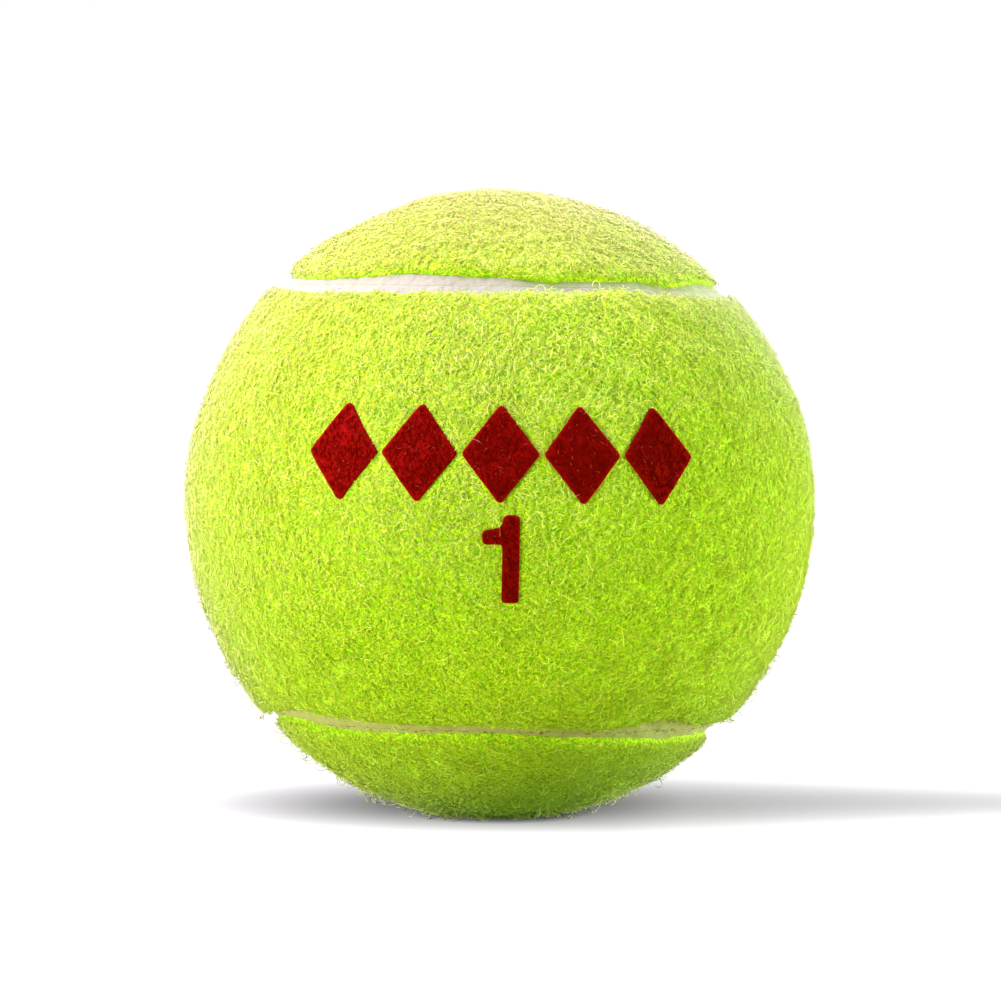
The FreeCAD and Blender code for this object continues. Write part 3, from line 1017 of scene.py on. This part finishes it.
# Lamps, each a metre from the ball: degrees round from the camera to the right, degrees up, width, watts
# and tint
LAMPS = {
    "front_left": (-55, 9, 0.35, 11.8, (0.89, 1.02, 0.33)),
    "upper_left": (-90, 55, 0.6, 20.0, (1.3, 0.76, 1.5)),
    "back": (180, 60, 0.6, 16.5, (1.14, 0.96, 1.6)),
    "right": (90, 9, 0.35, 16.8, (0.87, 1.05, 0.34)),
    "back_right": (125, 20, 0.5, 4.5, (1.2, 0.6, 1.1)),
}


def seen_rays(finish):
    """1 for rays from the camera, and for those it sees in gloss or through glass."""
    rays = finish.add("LightPath")
    seen = finish.maths("MAXIMUM", rays["Is Camera Ray"], rays["Is Glossy Ray"])
    return finish.maths("MAXIMUM", seen, rays["Is Transmission Ray"])


def shadow_darkness(finish, place, stage):
    """Darkness of the pointed shadow round the ball, as laid out on the floor.

    With a and b the ways to the left and in depth from where it is darkest, as shares of its reach, it is
    1 - a^2 - b^2. The shadow narrows and pales towards its tail at the right."""
    x, y, _ = finish.add("SeparateXYZ", {0: place})
    darkest, tip = stage.shadow_right, stage.shadow_right + stage.shadow_tail
    left = finish.ranged(x, (darkest, darkest - stage.shadow_left_reach))
    half_depth = finish.ranged(x, (SHADOW_NARROWS, tip), (stage.shadow_half_depth, TIP_HALF_DEPTH))
    depth = finish.maths("DIVIDE", finish.maths("SUBTRACT", y, stage.shadow_back), half_depth)
    square = finish.maths("ADD", *(finish.maths("MULTIPLY", way, way) for way in (left, depth)))
    darkness = finish.maths("MAXIMUM", finish.maths("SUBTRACT", 1.0, square), 0.0)
    near_ball = finish.ranged(x, (darkest, TAIL_START), (1.0, stage.tail_darkness))
    paling = finish.ranged(x, (TAIL_START, tip), (1.0, TIP_DARKNESS))
    return finish.maths("MULTIPLY", darkness, finish.maths("MULTIPLY", near_ball, paling))


def floor_material(stage):
    """Floor that gives back a share of its light, and to the camera has a white glow of its own, less where
    the ball's shadow and the shade at its foot are painted into it. From below it is clear."""
    finish = new_finish("pale_floor")
    place = finish.place()
    off_ball = finish.vector("LENGTH", finish.vector("MULTIPLY", place, (1, 1, 0))[0])["Value"]
    lit = finish.maths("SUBTRACT", 1.0, shadow_darkness(finish, place, stage))
    glow = finish.maths("MULTIPLY", lit, finish.ranged(off_ball, TOUCH, (TOUCH_GLOW, 1.0)))
    seen = seen_rays(finish)
    shade = finish.mixed(seen, stage.floor_colour, stage.floor_shade)
    diffuse = finish.add("BsdfDiffuse", {"Color": shade})[0]
    emission = finish.add("Emission", {"Strength": finish.maths("MULTIPLY", seen, glow)})[0]
    above = finish.add("AddShader", {0: diffuse, 1: emission})[0]
    below = finish.add("NewGeometry")["Backfacing"]
    clear = finish.add("BsdfTransparent")[0]
    return finish.surfaced(finish.add("MixShader", {0: below, 1: above, 2: clear})[0])


def build_floor(stage):
    """Flat square at the foot of the ball, as a grid."""
    line = np.linspace(-0.5, 0.5, FLOOR_STEPS + 1) * stage.floor_size
    points = np.stack(np.meshgrid(line, line, FLOOR_HEIGHT, indexing="ij"), axis=-1)
    row, column = np.meshgrid(np.arange(FLOOR_STEPS), np.arange(FLOOR_STEPS), indexing="ij")
    first = (row * len(line) + column).ravel()
    faces = np.stack([first, first + len(line), first + len(line) + 1, first + 1], axis=-1)
    mesh_piece("floor", points, faces, floor_material(stage))


def build_world(stage):
    """White to the camera, and an even light of the ambient strength to everything else."""
    world = bpy.data.worlds.new("studio")
    bpy.context.scene.world = world
    finish = Finish(world)
    strength = finish.ranged(seen_rays(finish), (0.0, 1.0), (stage.ambient, 1.0))
    background = finish.add("Background", {"Color": (1.0, 1.0, 1.0, 1.0), "Strength": strength})
    finish.add("OutputWorld", {"Surface": background[0]})


def aimed(name, data, place, towards):
    """Object at a place that looks along a direction."""
    holder = bpy.data.objects.new(name, data)
    holder.location = place
    holder.rotation_mode = "QUATERNION"
    holder.rotation_quaternion = Vector(towards).to_track_quat("-Z", "Y")
    bpy.context.scene.collection.objects.link(holder)
    return holder


def build_lamp(stage, name):
    """Square area lamp, turned to the ball."""
    round_by, up_by, width, watts, tint = LAMPS[name]
    turn = Matrix.Rotation(math.radians(round_by), 3, "Z") @ Matrix.Rotation(math.radians(-up_by), 3, "X")
    place = turn @ Vector((0, -1, 0))
    lamp = bpy.data.lights.new(name, "AREA")
    lamp.size = width
    lamp.energy = watts * stage.light
    lamp.color = tint
    aimed(f"{name}_lamp", lamp, place, -place)


def build_camera(stage):
    camera = bpy.data.cameras.new("camera")
    camera.lens = stage.lens
    camera.clip_start, camera.clip_end = CLIP_RANGE
    aim = Vector((stage.aim_right, 0, stage.aim_up))
    back = Vector((0, -math.cos(stage.camera_elevation), math.sin(stage.camera_elevation)))
    bpy.context.scene.camera = aimed("camera", camera, aim + back * stage.camera_distance, -back)


# Operators

# Finishes of the pieces from the CAD: name, tone, speckle, roughness and nodes
CORE_FINISHES = (
    ("core_rubber", (0.030, 0.028, 0.026), (0.06, 0.057, 0.05), 0.6, ("core_half_upper", "core_half_lower")),
    ("cement", (0.55, 0.47, 0.30), (0.42, 0.35, 0.20), 0.5, ("core_joint_cement", "core_coat")),
    ("backing", (0.50, 0.47, 0.20), (0.38, 0.38, 0.12), 0.8, ("backing_front", "backing_back")),
)


class BALL_OT_felt(Operator):
    """Make the mats of the two felt covers"""

    bl_idname = "ball.felt"
    bl_label = "Felt covers"

    def execute(self, context):
        material = felt_mat_material(context.scene.ball_felt)
        for cover in both_covers(context.scene):
            build_mat(cover, material)
        return {"FINISHED"}


class BALL_OT_nap(Operator):
    """Grow the fibres of the two felt covers"""

    bl_idname = "ball.nap"
    bl_label = "Nap"

    def execute(self, context):
        nap, ink = context.scene.ball_nap, context.scene.ball_print
        material = nap_material(nap, ink)
        for cover in both_covers(context.scene):
            build_nap(cover, nap, ink, material)
        return {"FINISHED"}


class BALL_OT_seam(Operator):
    """Lay the two halves of the seam between the covers"""

    bl_idname = "ball.seam"
    bl_label = "Seam"

    def execute(self, context):
        seam = context.scene.ball_seam
        material = seam_material(seam)
        for cover in both_covers(context.scene):
            build_seam(cover, seam, material)
        return {"FINISHED"}


class BALL_OT_number(Operator):
    """Print the number"""

    bl_idname = "ball.number"
    bl_label = "Number"

    def execute(self, context):
        felt, ink = context.scene.ball_felt, context.scene.ball_print
        right, _, top = own_box("printed_number", felt)[1]
        centre = [right - ink.number_stem / 2, top - ink.number_drop - ink.number_flag / 2]
        build_print(context.scene, "number", number_outline(ink, felt), centre, [0.0])
        return {"FINISHED"}


class BALL_OT_lozenges(Operator):
    """Print the row of lozenges"""

    bl_idname = "ball.lozenges"
    bl_label = "Lozenges"

    def execute(self, context):
        ink = context.scene.ball_print
        outline = lozenge_outline(ink, context.scene.ball_felt)
        build_print(context.scene, "lozenges", outline, outline.mean(axis=0), lozenge_turns(ink))
        return {"FINISHED"}


class BALL_OT_core(Operator):
    """Finish the core, its cement and the rubbered backs of the covers"""

    bl_idname = "ball.core"
    bl_label = "Core"

    def execute(self, context):
        for name, base, speck, roughness, nodes in CORE_FINISHES:
            material = rubber_material(name, base, speck, roughness)
            for node in nodes:
                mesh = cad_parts[node].data
                mesh.materials.clear()
                mesh.materials.append(material)
        return {"FINISHED"}


class BALL_OT_stage(Operator):
    """Make the floor, the lamps and the camera"""

    bl_idname = "ball.stage"
    bl_label = "Stage"

    def execute(self, context):
        stage = context.scene.ball_stage
        build_floor(stage)
        build_world(stage)
        for name in LAMPS:
            build_lamp(stage, name)
        build_camera(stage)
        context.scene.view_settings.view_transform = "Standard"
        return {"FINISHED"}


GROUPS = {
    "ball_felt": BallFelt,
    "ball_nap": BallNap,
    "ball_seam": BallSeam,
    "ball_print": BallPrint,
    "ball_stage": BallStage,
}
OPERATORS = (
    BALL_OT_felt, BALL_OT_nap, BALL_OT_seam, BALL_OT_number, BALL_OT_lozenges, BALL_OT_core, BALL_OT_stage
)


class BALL_PT_ball(Panel):
    """Lists what the ball is made of"""

    bl_idname = "BALL_PT_ball"
    bl_label = "Tennis ball"
    bl_space_type = "VIEW_3D"
    bl_region_type = "UI"
    bl_category = "Ball"

    def draw(self, context):
        for operator in OPERATORS:
            self.layout.operator(operator.bl_idname)


def register():
    for made in (*GROUPS.values(), *OPERATORS, BALL_PT_ball):
        bpy.utils.register_class(made)
    for name, group in GROUPS.items():
        setattr(bpy.types.Scene, name, PointerProperty(type=group))


def unregister():
    for name in GROUPS:
        delattr(bpy.types.Scene, name)
    for made in (BALL_PT_ball, *reversed(OPERATORS), *reversed(GROUPS.values())):
        bpy.utils.unregister_class(made)


def main():
    register()
    bpy.ops.ball.felt()
    bpy.ops.ball.nap()
    bpy.ops.ball.seam()
    bpy.ops.ball.number()
    bpy.ops.ball.lozenges()
    bpy.ops.ball.core()
    bpy.ops.ball.stage()


if __name__ == "__main__":
    main()
